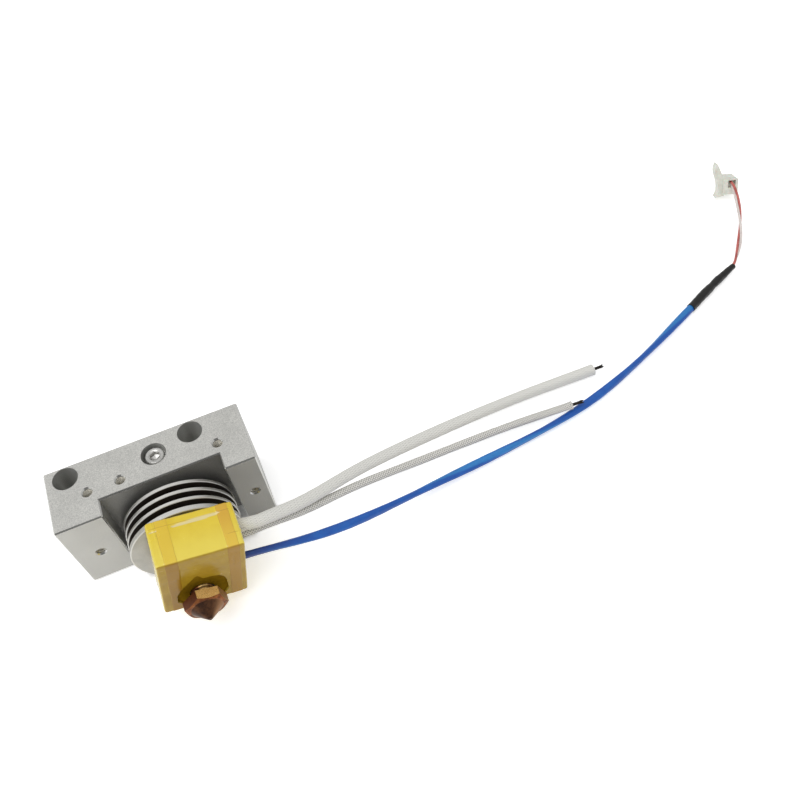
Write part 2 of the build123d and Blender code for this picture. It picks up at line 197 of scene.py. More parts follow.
def smooth_line(points, spacing, soften=0):
    """A polyline resampled evenly through its points by Catmull-Rom curves."""
    points = np.array(points, float)
    for _ in range(soften):
        points[1:-1] = (points[:-2] + 2 * points[1:-1] + points[2:]) / 4
    padded = np.vstack([2 * points[0] - points[1], points, 2 * points[-1] - points[-2]])
    dense = []
    t = np.linspace(0, 1, 12, endpoint=False)[:, None]
    for i in range(1, len(padded) - 2):
        p0, p1, p2, p3 = padded[i - 1:i + 3]
        dense.append(0.5 * (2 * p1 + (p2 - p0) * t + (2 * p0 - 5 * p1 + 4 * p2 - p3) * t ** 2
                            + (3 * p1 - p0 - 3 * p2 + p3) * t ** 3))
    return resampled(np.vstack(dense + [points[-1:]]), spacing=spacing)


# ---- meshes

def new_mesh(name, vertices, faces, material):
    mesh = bpy.data.meshes.new(name)
    mesh.from_pydata((np.array(vertices) * MM).tolist(), [], faces)
    mesh.materials.append(material)
    return mesh


def new_object(name, data):
    made = bpy.data.objects.new(name, data)
    bpy.context.scene.collection.objects.link(made)
    return made


def make_piece(name, shape, material, sharp=35.0, replaces=(), stored=(), body=None):
    """A mesh object from a shape, its vertices and faces. stored: a number per vertex, by name."""
    mesh = new_mesh(name, *shape, material)
    mesh.validate()
    mesh.update()
    mesh.polygons.foreach_set("use_smooth", [True] * len(mesh.polygons))
    mesh.set_sharp_from_angle(angle=math.radians(sharp))
    for key, values in dict(stored).items():
        attribute = mesh.attributes.new(key, "FLOAT", "POINT")
        attribute.data.foreach_set("value", np.array(values, np.float32))
    piece = new_object(name, mesh)
    if replaces:
        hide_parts(*replaces)
    if body:
        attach(piece, body)
    return piece


def turns(around):
    """Evenly spaced angles once round, in radians."""
    return np.arange(around) / around * 2 * math.pi


def grid_faces(rows, columns):
    """Quads between successive closed rings of vertices."""
    faces = []
    for start in range(0, (rows - 1) * columns, columns):
        for j in range(columns):
            k = (j + 1) % columns
            faces.append((start + j, start + k, start + columns + k, start + columns + j))
    return faces


def carried_axes(line):
    """Two directions square to a line at each of its points, carried along without twist."""
    tangents = unit(np.gradient(line, axis=0))
    first = square_to(tangents[0])[0]
    firsts = []
    for tangent in tangents:
        first = unit(first - tangent * (first @ tangent))
        firsts.append(first)
    return np.array(firsts), np.cross(tangents, firsts)


def swept(line, radii, stations=None):
    """A closed form swept along a line: radii has a row of values round each station, an index into it."""
    stations = np.arange(len(line)) if stations is None else stations
    count, around = radii.shape
    firsts, seconds = (axes[stations][:, None] for axes in carried_axes(line))
    angles = turns(around)[None, :, None]
    outward = np.cos(angles) * firsts + np.sin(angles) * seconds
    rings = line[stations][:, None] + radii[:, :, None] * outward
    vertices = np.vstack([rings.reshape(-1, 3), line[stations[0]], line[stations[-1]]])
    faces = [face[::-1] for face in grid_faces(count, around)]
    last, centre = (count - 1) * around, count * around
    for j in range(around):
        k = (j + 1) % around
        faces += [(centre, j, k), (centre + 1, last + k, last + j)]
    return vertices, faces


def joined(parts):
    """Several shapes as one."""
    faces, offset = [], 0
    for vertices, own_faces in parts:
        faces += [tuple(i + offset for i in face) for face in own_faces]
        offset += len(vertices)
    return np.vstack([vertices for vertices, _ in parts]), faces


def ramp(value, low, high):
    t = np.clip((value - low) / (high - low), 0, 1)
    return t * t * (3 - 2 * t)


def between(value, low, high, soft):
    return ramp(value, low - soft, low + soft) * (1 - ramp(value, high - soft, high + soft))


def bell(offset, width):
    return np.exp(-(offset / width) ** 2)


def rough_field(points, size, seed, octaves=3):
    """Smooth noise from -1 to 1 at each point, with features of about the given size."""
    shift = Vector((seed * 7.13, seed * 3.71, seed * 5.37))
    return np.array([noise.fractal(Vector(p) / size + shift, 1.0, 2.0, octaves) for p in points])


# ---- materials

def linear(colour, share=1.0):
    """A display colour as the linear RGBA that Blender takes, dimmed to a share of its light."""
    def channel(value):
        value /= 255
        return share * (value / 12.92 if value <= 0.04045 else ((value + 0.055) / 1.055) ** 2.4)
    return (*(channel(value) for value in colour), 1.0)


class Tree:
    """A node tree, written as short expressions."""

    def __init__(self, owner, output):
        owner.use_nodes = True
        self.tree = owner.node_tree
        self.tree.nodes.clear()
        self.output = self.tree.nodes.new(output)

    def put(self, socket, value):
        if isinstance(value, bpy.types.NodeSocket):
            self.tree.links.new(value, socket)
        else:
            socket.default_value = value

    def put_colour(self, socket, value):
        """Three numbers are a display colour, four a linear one."""
        self.put(socket, linear(value) if isinstance(value, tuple) and len(value) == 3 else value)

    def add(self, kind, inputs=(), **settings):
        node = self.tree.nodes.new(kind)
        for key, value in settings.items():
            setattr(node, key, value)
        for key, value in dict(inputs).items():
            self.put(node.inputs[key], value)
        return node

    def vector(self, operation, a, b=(0.0, 0.0, 0.0)):
        node = self.add("ShaderNodeVectorMath", {0: a, 1: tuple(b)}, operation=operation)
        return node.outputs["Value" if operation in ("DOT_PRODUCT", "LENGTH", "DISTANCE") else 0]

    def mix_shaders(self, factor, a, b):
        """Shows one shader where the factor is 0 and the other where it is 1."""
        mixed = self.add("ShaderNodeMixShader", {0: factor, 1: a, 2: b})
        self.put(self.output.inputs["Surface"], mixed.outputs[0])

    def seen_by_camera(self):
        return self.add("ShaderNodeLightPath").outputs["Is Camera Ray"]


class Graph(Tree):
    """A material: its positions are in millimetres, and paint() builds up its base colour."""

    def __init__(self, name):
        self.material = bpy.data.materials.new(name)
        super().__init__(self.material, "ShaderNodeOutputMaterial")
        self.shader = self.add("ShaderNodeBsdfPrincipled")
        self.put(self.output.inputs[0], self.shader.outputs[0])
        coordinates = self.add("ShaderNodeTexCoord").outputs
        self.place = self.vector("MULTIPLY", coordinates["Object"], [1 / MM] * 3)
        self.normal = coordinates["Normal"]
        self.colour = None

    def math(self, operation, a, b=0.0):
        return self.add("ShaderNodeMath", {0: a, 1: b}, operation=operation).outputs[0]

    def both(self, a, b):
        return self.math("MULTIPLY", a, b)

    def sum(self, a, b):
        return self.math("ADD", a, b)

    def less(self, a, b):
        return self.math("SUBTRACT", a, b)

    def most(self, a, *others):
        for b in others:
            a = self.math("MAXIMUM", a, b)
        return a

    def size(self, value):
        return self.math("ABSOLUTE", value)

    def wave(self, value, length, shift=0.0):
        """A sine along a value, with a wavelength."""
        return self.math("SINE", self.sum(self.both(value, 2 * math.pi / length), shift))

    def along(self, direction):
        return self.vector("DOT_PRODUCT", self.place, direction)

    def facing(self, direction):
        return self.vector("DOT_PRODUCT", self.normal, direction)

    def squeezed(self, scale):
        return self.vector("MULTIPLY", self.place, scale)

    def noise(self, size, detail=3.0, rough=0.55, place=None, distortion=0.0):
        inputs = {"Vector": place or self.place, "Scale": 1 / size, "Detail": detail,
                  "Roughness": rough, "Distortion": distortion}
        return self.add("ShaderNodeTexNoise", inputs).outputs["Fac"]

    def cells(self, size):
        inputs = {"Vector": self.place, "Scale": 1 / size}
        return self.add("ShaderNodeTexVoronoi", inputs).outputs["Distance"]

    def step(self, value, low, high, start=0.0, end=1.0):
        inputs = {0: value, 1: low, 2: high, 3: start, 4: end}
        return self.add("ShaderNodeMapRange", inputs, interpolation_type="SMOOTHSTEP").outputs[0]

    def fall(self, value, low, high):
        return self.step(value, low, high, 1.0, 0.0)

    def between(self, value, low, high, soft=0.05):
        rise = self.step(value, low - soft, low + soft)
        return self.both(rise, self.fall(value, high - soft, high + soft))

    def mix(self, factor, a, b):
        node = self.add("ShaderNodeMix", {0: factor}, data_type="RGBA")
        self.put_colour(node.inputs[6], a)
        self.put_colour(node.inputs[7], b)
        return node.outputs[2]

    def vary(self, value, a, b):
        """Two colours, mixed by a noise."""
        return self.mix(self.step(value, 0.3, 0.7), a, b)

    def paint(self, factor, colour):
        """Lays a colour over the base colour, as far as a factor from 0 to 1 says."""
        self.colour = self.mix(factor, self.colour, colour)

    def blend(self, factor, a, b):
        """A number between two others."""
        return self.add("ShaderNodeMix", {0: factor, 2: a, 3: b}, data_type="FLOAT").outputs[0]

    def stored(self, name):
        return self.add("ShaderNodeAttribute", attribute_name=name).outputs["Fac"]

    def bump(self, height, depth, strength):
        inputs = {"Height": height, "Distance": depth * MM, "Strength": strength}
        return self.add("ShaderNodeBump", inputs).outputs[0]

    def done(self, **inputs):
        self.put(self.shader.inputs["Base Color"], self.colour)
        for key, value in inputs.items():
            name = key.replace("_", " ").title().replace("Ior", "IOR")
            self.put_colour(self.shader.inputs[name], value)
        return self.material


# The CAD shapes that the materials follow.
BORE_RADIUS = 3.5
NOTCH_CEILING = BLOCK_LOW[2] + 5.45
DISC_RADIUS = 15.5
# From the lowest disc's underside to the top of the first disc.
DISC_STACK = 9.8
# The way the nozzle's forward flat faces, in degrees about the filament axis.
NOZZLE_FLAT = -70.0
# Above the nozzle's tip.
CONE_TOP = 3.3
HEXAGON_TOP = 6.3


def bore_mask(g):
    """1 inside the three large drilled bores of the front face."""
    bolts = MOUNTS["carriage_bolts"]
    half = bolts["dims"]["spacing_x_mm"] / 2
    x, _, z = np.array(bolts["pos_m"]) / MM
    screw_z = (SCREW_LOW[2] + SCREW_HIGH[2]) / 2
    flat = g.squeezed((1, 0, 1))
    centres = ((x - half, 0, z), (x + half, 0, z), (0, 0, screw_z))
    distances = [g.vector("DISTANCE", flat, centre) for centre in centres]
    mask = g.most(*(g.fall(distance, BORE_RADIUS + 0.02, BORE_RADIUS + 0.08) for distance in distances))
    return g.both(mask, g.fall(g.along(Y), BLOCK_HIGH[1] - 1.0, BLOCK_HIGH[1] - 0.8))


def blasted_aluminium():
    g = Graph("blasted_aluminium")
    grain = g.noise(0.20, 3.0, 0.75)
    glint_flecks = g.cells(0.34)
    cloud = g.noise(9.0)
    bores = bore_mask(g)
    g.colour = g.mix(g.step(grain, 0.34, 0.66), (176, 176, 172), (220, 219, 214))
    # Painted glints: small bright flecks stand in for the sparkle of the blasted surface.
    g.paint(g.step(glint_flecks, 0.0, 0.28, 0.35, 0.0), (238, 238, 234))
    g.paint(g.step(cloud, 0.3, 0.7, 0.0, 0.16), (150, 150, 148))
    # Painted shade: the block's underside is darkened towards +X.
    under = g.both(g.step(g.facing(-Z), 0.8, 0.95), g.step(g.along(X), 2.0, 20.0, 0.0, 0.5))
    g.paint(under, (126, 125, 122))
    # The broken edges are cut after blasting, so they shine.
    steepest = g.most(*(g.size(g.facing(axis)) for axis in (X, Y, Z)))
    edge = g.both(g.fall(steepest, 0.75, 0.9), g.less(1.0, bores))
    g.paint(g.both(edge, g.step(cloud, 0.2, 0.8, 0.55, 0.95)), (226, 226, 222))
    # Painted shade: a dark line along the chamfer between the front face and the underside.
    lower_edge_shade = g.step(g.facing(-unit(Y + Z)), 0.93, 0.98)
    g.paint(g.both(lower_edge_shade, 0.75), (70, 69, 67))
    # Painted shade darkens the walls inside the notch, which lie in the heatsink's shadow.
    half = (SINK_HIGH[0] - SINK_LOW[0]) / 2
    inside = g.both(g.fall(g.size(g.along(X)), half + 1.0, half + 1.15),
                    g.fall(g.along(Z), NOTCH_CEILING + 0.15, NOTCH_CEILING + 0.35))
    wall = g.step(g.size(g.facing(X)), 0.6, 0.9, 0.5, 0.85)
    g.paint(g.both(inside, wall), (84, 82, 79))
    # Drilling leaves rings in the bores; a painted highlight brightens the walls that face -X, more so further in.
    rings = g.wave(g.along(Y), 0.16)
    drilled = g.mix(g.step(rings, -1, 1), (172, 172, 168), (192, 192, 188))
    depth = g.less(g.along(Y), BLOCK_LOW[1])
    bore_highlight = g.both(g.step(g.facing(-X), -0.3, 0.9), g.step(depth, 0.0, 7.0, 0.45, 1.0))
    g.paint(bores, g.mix(bore_highlight, drilled, (250, 250, 247)))
    height = g.blend(bores, g.sum(grain, g.both(glint_flecks, 0.5)), g.both(rings, 0.12))
    rough = g.blend(edge, g.step(grain, 0.3, 0.7, 0.46, 0.62), 0.26)
    return g.done(metallic=g.blend(bores, g.blend(edge, 0.72, 0.95), 0.6),
                  roughness=g.blend(bores, rough, 0.34), normal=g.bump(height, 0.020, 0.8))


def turned_aluminium():
    """Rims and the flat back are painted lighter as a highlight, the underside and the spigot keep the turned
    face, and between the discs painted shade makes it dark.
    """
    g = Graph("turned_aluminium")
    radius = g.vector("LENGTH", g.squeezed((1, 1, 0)))
    height = g.along(Z)
    rings = g.wave(radius, 0.22, g.both(g.noise(0.5, 2.0), 3.0))
    lines = g.wave(height, 0.14)
    flat_back = g.step(g.along(Y), SINK_HIGH[1] - 0.15, SINK_HIGH[1] - 0.05)
    rim = g.most(g.step(radius, DISC_RADIUS - 0.35, DISC_RADIUS - 0.25), flat_back)
    under = g.fall(height, SINK_LOW[2] + 0.12, SINK_LOW[2] + 0.2)
    above = g.step(height, SINK_LOW[2] + DISC_STACK, SINK_LOW[2] + DISC_STACK + 0.1)
    bright = g.most(rim, under, above)
    cloud = g.noise(4.0, 4.0)
    face = g.mix(g.step(rings, -1, 1), (172, 171, 166), (196, 195, 190))
    face = g.mix(g.step(cloud, 0.35, 0.75, 0.0, 0.3), face, (150, 149, 144))
    # Painted highlight: the rims and the flat back are lighter; painted shade: the gaps between the discs are
    # dark.
    edge = g.mix(g.step(lines, -1, 1), (206, 205, 200), (238, 237, 232))
    groove_shade = g.mix(cloud, (32, 26, 21), (62, 54, 46))
    g.colour = g.mix(bright, groove_shade, g.mix(rim, face, edge))
    rough = g.blend(bright, 0.6, g.step(cloud, 0.3, 0.7, 0.30, 0.42))
    return g.done(metallic=g.blend(bright, 0.3, 0.85), roughness=rough, anisotropic=0.4,
                  normal=g.bump(g.both(g.sum(rings, lines), 0.5), 0.006, 0.6))


def plain_metal(name, dark, light, metallic, rough, size=0.8, depth=0.008, stretch=(1, 1, 1)):
    """Metal with fine directional marks and uneven sheen."""
    g = Graph(name)
    marks = g.noise(size * 0.25, 3.0, 0.6, g.squeezed(stretch))
    cloud = g.noise(size * 4, 4.0)
    g.colour = g.vary(marks, dark, light)
    g.paint(g.step(cloud, 0.4, 0.75, 0.0, 0.35), linear(dark, 0.6))
    return g.done(metallic=metallic, roughness=g.step(cloud, 0.3, 0.7, rough - 0.07, rough + 0.1),
                  normal=g.bump(marks, depth, 0.7))


def tape_film():
    """Amber film: overlapped strips are deeper in colour, and the underside is painted darker and browner as
    shade.
    """
    g = Graph("tape_film")
    u, v, z = (g.along(axis) for axis in OWN)
    edge_u = g.sum(u, g.both(g.less(g.noise(3.4, 2.0), 0.5), 0.4))
    left = g.between(edge_u, *LEFT_BAND, 0.07)
    right = g.between(edge_u, *RIGHT_BAND, 0.07)
    cloud = g.noise(4.5, 3.0, 0.5)
    # Painted highlight: the front face is lighter towards its lower part, and so is the right band.
    lower_highlight = g.fall(z, WRAP_LOW[2] + 1.0, WRAP_HIGH[2] - 3.0)
    film = g.vary(cloud, (221, 190, 28), (228, 201, 42))
    film = g.mix(g.both(lower_highlight, 0.7), film, (236, 217, 86))
    film = g.mix(g.both(left, 0.7), film, (224, 188, 42))
    film = g.mix(right, film, g.mix(lower_highlight, (214, 168, 40), (226, 190, 56)))
    # Painted shade: film that faces down takes darker, browner colours.
    underside_shade = g.vary(cloud, (160, 127, 30), (172, 140, 38))
    underside_shade = g.mix(left, underside_shade, (154, 115, 30))
    underside_shade = g.mix(right, underside_shade, (164, 124, 38))
    down = g.step(g.facing(-Z), 0.45, 0.85)
    g.colour = g.mix(down, film, underside_shade)
    # Thin dark lines where one strip's edge lies on another.
    for place in (*LEFT_BAND, *RIGHT_BAND):
        line = g.between(edge_u, place - 0.05, place + 0.05, 0.04)
        g.paint(g.both(line, g.step(cloud, 0.3, 0.6, 0.15, 0.55)), (146, 100, 24))
    # Painted shade along a crease low on the right and along the film's upper edge above the gap.
    crease_shades = ((WRAP_LOW[2] + 4.0, 8.6, 11.4), (WRAP_HIGH[2] - GAP_DROP + 0.08, -9.8, 10.8))
    for height, start, end in crease_shades:
        line = g.both(g.between(z, height - 0.06, height + 0.06), g.between(u, start, end, 0.3))
        g.paint(g.both(line, 0.5), (140, 98, 26))
    g.paint(g.stored("deep"), g.mix(g.noise(1.4), (112, 84, 12), (134, 104, 22)))
    g.paint(g.stored("gap"), (228, 212, 152))
    g.paint(g.stored("shade"), (46, 34, 16))
    # Painted highlight pales the upright corners.
    corner = g.less(1.0, g.most(*(g.size(g.facing(axis)) for axis in OWN[:2])))
    upright = g.fall(g.size(g.facing(Z)), 0.3, 0.6)
    g.paint(g.both(g.step(corner, 0.04, 0.25, 0.0, 0.35), upright), (218, 212, 104))
    wrinkles = g.noise(2.2, 3.0, 0.5, g.squeezed((1.0, 0.45, 1.6)), 0.4)
    dull = g.most(g.both(down, 0.6), g.stored("deep"))
    return g.done(roughness=g.step(cloud, 0.3, 0.75, 0.18, 0.28), coat_roughness=0.10,
                  specular_ior_level=g.blend(dull, 0.6, 0.0), coat_weight=g.blend(dull, 0.5, 0.0),
                  normal=g.bump(wrinkles, 0.06, 0.4))


def tinted_brass():
    """Brown heat tint all over, with bright pitted metal on the flat that faces forward; the flat to its left is
    painted darker as shade and the one to its right lighter as a highlight.
    """
    g = Graph("tinted_brass")
    cloud = g.noise(1.6, 4.0, 0.6)
    pits = g.cells(0.42)
    speck = g.noise(0.16, 2.0)
    flats = [math.radians(NOZZLE_FLAT + turn) for turn in (0, 60, -60)]
    forward, right, left = (g.facing((math.cos(flat), math.sin(flat), 0)) for flat in flats)
    forward_flat = g.step(forward, 0.86, 0.97)
    tint = g.vary(cloud, (94, 50, 26), (154, 94, 48))
    # Painted shade on the left flat, painted highlight on the right flat.
    tint = g.mix(g.both(g.step(left, 0.8, 0.95), 0.8), tint, (88, 44, 24))
    tint = g.mix(g.both(g.step(right, 0.7, 0.95), 0.7), tint, (162, 124, 78))
    gold = g.mix(g.step(speck, 0.35, 0.65), (204, 160, 92), (242, 206, 138))
    gold = g.mix(g.both(g.fall(pits, 0.10, 0.20), 0.9), gold, (48, 26, 12))
    g.colour = g.mix(forward_flat, tint, gold)
    # The cone is darker, with a painted highlight on its side away from the front left, and sooty at its tip.
    height = g.less(g.along(Z), limits("nozzle")[0][2])
    radius = g.vector("LENGTH", g.squeezed((1, 1, 0)))
    on_cone = g.both(g.fall(height, CONE_TOP - 0.1, CONE_TOP + 0.05), g.fall(radius, 4.3, 4.4))
    dark = g.vary(cloud, (56, 34, 22), (94, 60, 36))
    dark = g.mix(g.step(g.facing((-0.4, -1, 0)), -0.3, 0.45, 0.85, 0.0), dark, (158, 114, 74))
    g.paint(on_cone, dark)
    g.paint(g.step(height, 0.1, 1.0, 0.6, 0.0), (40, 24, 20))
    # The thread above the hexagon, at 1 mm pitch; its grooves are painted dark as shade.
    on_thread = g.step(height, HEXAGON_TOP + 0.05, HEXAGON_TOP + 0.15)
    thread = g.both(g.wave(g.along(Z), 1.0), on_thread)
    g.paint(g.both(g.step(thread, 0.0, 0.9), 0.7), (44, 28, 16))
    relief = g.less(g.sum(g.step(pits, 0.0, 0.2), g.both(cloud, 0.6)), g.both(thread, 4.0))
    return g.done(metallic=g.blend(forward_flat, 0.75, 0.5), roughness=g.blend(forward_flat, 0.36, 0.30),
                  normal=g.bump(relief, 0.03, 0.6))


def sleeving(name, dark, light, rough, sheen, grain=0.35, depth=0.02):
    """Matt tubing with a dusty, slightly mottled skin."""
    g = Graph(name)
    cloud = g.noise(6.0, 4.0, 0.6)
    skin = g.noise(grain, 3.0, 0.6)
    g.colour = g.vary(cloud, dark, light)
    g.paint(g.step(skin, 0.35, 0.7, 0.0, 0.25), linear(dark, 0.8))
    g.paint(g.stored("shade"), linear(dark, 0.12))
    return g.done(roughness=g.step(skin, 0.3, 0.7, rough - 0.08, rough + 0.08), sheen_weight=sheen,
                  normal=g.bump(skin, depth, 0.5))


def woven(name, groove_shade, thread):
    """Braided yarn: its relief is in the mesh, and the grooves between threads are painted darker as shade."""
    g = Graph(name)
    fuzz = g.noise(0.12, 3.0, 0.7)
    g.colour = g.mix(g.step(g.stored("relief"), 0.05, 0.75), groove_shade, thread)
    g.paint(g.step(fuzz, 0.35, 0.7, 0.0, 0.35), linear(thread, 0.72))
    g.paint(g.step(g.noise(5.0), 0.35, 0.7, 0.0, 0.2), linear(thread, 0.78))
    g.paint(g.stored("shade"), linear(groove_shade, 0.12))
    return g.done(roughness=0.72, sheen_weight=0.25, normal=g.bump(fuzz, 0.03, 0.6))


def satin_plastic(name, dark, light, rough, size=5.0, depth=0.02, subsurface=0.0):
    g = Graph(name)
    cloud = g.noise(size, 3.0, 0.6)
    skin = g.noise(size * 0.08, 3.0, 0.6)
    g.colour = g.mix(g.step(cloud, 0.32, 0.7), dark, light)
    g.paint(g.step(skin, 0.45, 0.75, 0.0, 0.2), linear(dark, 0.7))
    return g.done(roughness=g.step(skin, 0.3, 0.7, rough - 0.06, rough + 0.08),
                  subsurface_weight=subsurface, subsurface_scale=0.8 * MM, normal=g.bump(skin, depth, 0.5))


def blue_sleeving():
    """Thin blue tube: deeper and duller where it leaves the wrap, brighter where it lies flat, with a painted
    highlight along one side.
    """
    g = Graph("blue_sleeving")
    cloud = g.noise(7.0, 3.0, 0.6)
    skin = g.noise(0.5, 3.0, 0.6, g.squeezed((0.35, 1, 1)))
    clear_of_wrap = g.step(g.along(X), 14.0, 34.0)
    g.colour = g.mix(clear_of_wrap, (6, 46, 124), (5, 80, 166))
    g.paint(g.step(cloud, 0.45, 0.7, 0.0, 0.5), (14, 104, 190))
    # Painted highlight along one side of the flattened, turning tube.
    g.paint(g.both(g.stored("facet"), g.both(clear_of_wrap, 0.45)), (50, 148, 208))
    g.paint(g.step(skin, 0.5, 0.8, 0.0, 0.3), (14, 52, 128))
    return g.done(roughness=g.step(cloud, 0.3, 0.7, 0.30, 0.42), coat_weight=0.15,
                  normal=g.bump(skin, 0.03, 0.5))


# ---- mounting block and screw

THREAD_PITCH = 0.5
THREAD_DEPTH = 0.2
TURN_POINTS = 28
SCREW_HEAD_HEIGHT = 3.0
SCREW_SOCKET = 2.5
SHANK_RADIUS = 1.28


def helix_ridge(origin, inward, radius, length, inner=True):
    """One screw thread's ridge as a closed swept triangle. inner: it stands in from a hole's wall."""
    out_sign = -1 if inner else 1
    count = int(length / THREAD_PITCH * TURN_POINTS)
    places = np.arange(count + 1)
    angle = places / TURN_POINTS * 2 * math.pi
    first, second = square_to(inward)
    out = np.cos(angle)[:, None] * first + np.sin(angle)[:, None] * second
    centre = np.array(origin) + (places / TURN_POINTS * THREAD_PITCH)[:, None] * inward
    fade = np.minimum(1, np.minimum(places, count - places) / 10)[:, None]
    crest = centre + out * (radius + out_sign * THREAD_DEPTH * fade)
    base = centre + out * (radius - out_sign * 0.02)
    half = THREAD_PITCH * 0.42 * inward
    rows = np.stack([base - half, crest - half * 0.15, crest + half * 0.15, base + half], axis=1)
    faces = grid_faces(count + 1, 4)
    faces += [(3, 2, 1, 0), tuple(count * 4 + k for k in range(4))]
    return rows.reshape(-1, 3), faces if inner else [face[::-1] for face in faces]


def tapped_threads(material):
    """The thread inside each tapped hole of the block."""
    for name, mount in MOUNTS.items():
        if mount["kind"] != "threaded_hole":
            continue
        inward = -np.array(mount["axis"], float)
        start = np.array(mount["pos_m"]) / MM + inward * 0.15
        shape = helix_ridge(start, inward, mount["dims"]["r_mm"], mount["dims"]["length_mm"] - 0.7)
        name = "thread_" + name.replace("_thread", "")
        make_piece(name, shape, material, body="mount")


def hexagon_radius(angles, across):
    sector = (angles + math.pi / 6) % (math.pi / 3) - math.pi / 6
    return across / 2 / np.cos(sector)


def screw_head(front, z):
    """A knurled head with a hexagonal recess, turned about the screw's axis."""
    head = (SCREW_HIGH[0] - SCREW_LOW[0]) / 2
    back = front + SCREW_HEAD_HEIGHT
    around = 144
    angles = turns(around)
    plain = np.ones(around)
    knurl = head * (1 - 0.022 * (0.5 + 0.5 * np.cos(angles * 48)))
    hexagon = hexagon_radius(angles, SCREW_SOCKET)
    profile = [
        (back, plain * 0.02), (back, plain * (head - 0.15)), (back - 0.12, knurl), (back - 1.4, knurl),
        (front + 0.42, knurl), (front + 0.30, plain * head * 0.975), (front + 0.06, plain * (head - 0.26)),
        (front, plain * (head - 0.36)), (front, plain * 1.72), (front + 0.05, plain * 1.60),
        (front + 0.30, np.maximum(hexagon, 1.3)), (front + 0.34, hexagon), (front + 1.55, hexagon),
        (front + 1.62, hexagon * 0.9), (front + 1.95, plain * 0.02),
    ]
    rows = [np.stack([radii * np.cos(angles), np.full(around, y), radii * np.sin(angles) + z], 1)
            for y, radii in profile]
    last = (len(profile) - 1) * around
    ends = [tuple(range(around))[::-1], tuple(range(last, last + around))]
    return np.vstack(rows), grid_faces(len(profile), around) + ends


def socket_screw(material):
    """Socket head cap screw with a threaded shank."""
    z = (SCREW_LOW[2] + SCREW_HIGH[2]) / 2
    front, tip = SCREW_LOW[1], SCREW_HIGH[1]
    back = front + SCREW_HEAD_HEIGHT
    shank_line, _ = smooth_line([(0, back - 0.01, z), (0, (back + tip) / 2, z), (0, tip, z)], 0.5)
    radii = np.full((len(shank_line), 32), SHANK_RADIUS)
    radii[-1] = 1.0
    thread = helix_ridge((0, back + 0.3, z), Y, SHANK_RADIUS, tip - back - 0.7, inner=False)
    shape = joined([screw_head(front, z), swept(shank_line, radii), thread])
    make_piece("socket_cap_screw", shape, material, 30, ["retaining_screw"],
               body="screw")


# ---- the taped wrap

# Where strips of film overlap, along u.
LEFT_BAND = (-8.1, -5.0)
RIGHT_BAND = (7.6, 10.5)
# From the wrap's top to the film's upper edge on the front face.
GAP_DROP = 2.5
CORNER = 0.8
FILM_STEP = 0.10
# The ragged cut-out round the nozzle, as (u, v) corners in order round the filament axis.
CUT_OUT = [
    (6.6, -2.6), (6.9, 1.8), (5.2, 4.6), (0.4, 5.0), (-4.6, 4.2), (-6.7, 1.4),
    (-6.6, -1.6), (-5.6, -3.9), (-3.4, -6.4), (-1.6, -8.6), (-0.9, -9.0), (-0.5, -8.6),
    (0.5, -7.0), (2.8, -6.9), (4.6, -6.3), (5.9, -5.1),
]


def at_height(flat, z):
    return np.column_stack([flat, np.full(len(flat), z)])


def ring(radius, angles, z):
    """Points about the filament axis at one height."""
    return at_height(np.stack([radius * np.cos(angles), radius * np.sin(angles)], 1), z)


def rings_between(first, last, count):
    return [first * (1 - share) + last * share for share in np.linspace(0, 1, count)]


def rounded_outline(low, high, corner, spacing):
    """Points round a rounded rectangle with their outward normals, anticlockwise."""
    left, front, right, back = low[0] + corner, low[1] + corner, high[0] - corner, high[1] - corner
    centres = np.array([(right, back), (left, back), (left, front), (right, front)])
    points, normals = [], []
    for index, centre in enumerate(centres):
        angles = np.radians(np.linspace(90 * index, 90 * index + 90, 9))
        arc = np.stack([np.cos(angles), np.sin(angles)], 1)
        straight = centres[(index + 1) % 4] - centre
        share = np.linspace(0, 1, int(lengths(straight) / spacing) + 1)[1:-1, None]
        points += [*(centre + arc * corner), *(centre + arc[-1] * corner + straight * share)]
        normals += [*arc, *np.tile(arc[-1], (len(share), 1))]
    return np.array(points), np.array(normals)


def cut_out_radius(angles, tear):
    """How far the cut-out's edge lies from the filament axis in each direction, slightly torn."""
    corners = np.array(CUT_OUT)
    edges = np.roll(corners, -1, axis=0) - corners
    x, y = np.cos(angles)[:, None], np.sin(angles)[:, None]
    across = x * edges[:, 1] - y * edges[:, 0]
    reach = (corners[:, 0] * edges[:, 1] - corners[:, 1] * edges[:, 0]) / across
    share = (corners[:, 0] * y - corners[:, 1] * x) / across
    met = (reach > 0) & (share > -1e-6) & (share < 1 + 1e-6)
    ragged = [noise.fractal(Vector((math.cos(a) * 6, math.sin(a) * 6, 3.0)), 1.0, 2.0, 3) for a in angles]
    return np.where(met, reach, 0).max(1) + tear * np.array(ragged)


def lead_exits():
    """(v, z, radius) of each opening in the wrap's side that leads leave through."""
    radii = {"sleeved_lead_sleeve": 1.9, "braided_lead_cover": 1.3, "probe_lead_sleeve": 1.4}
    roots = [OWN @ rooted(centreline(node, AXIS_U, REACH[node]), WALL)[0] for node in radii]
    return [(root[1], root[2], radius) for root, radius in zip(roots, radii.values())]


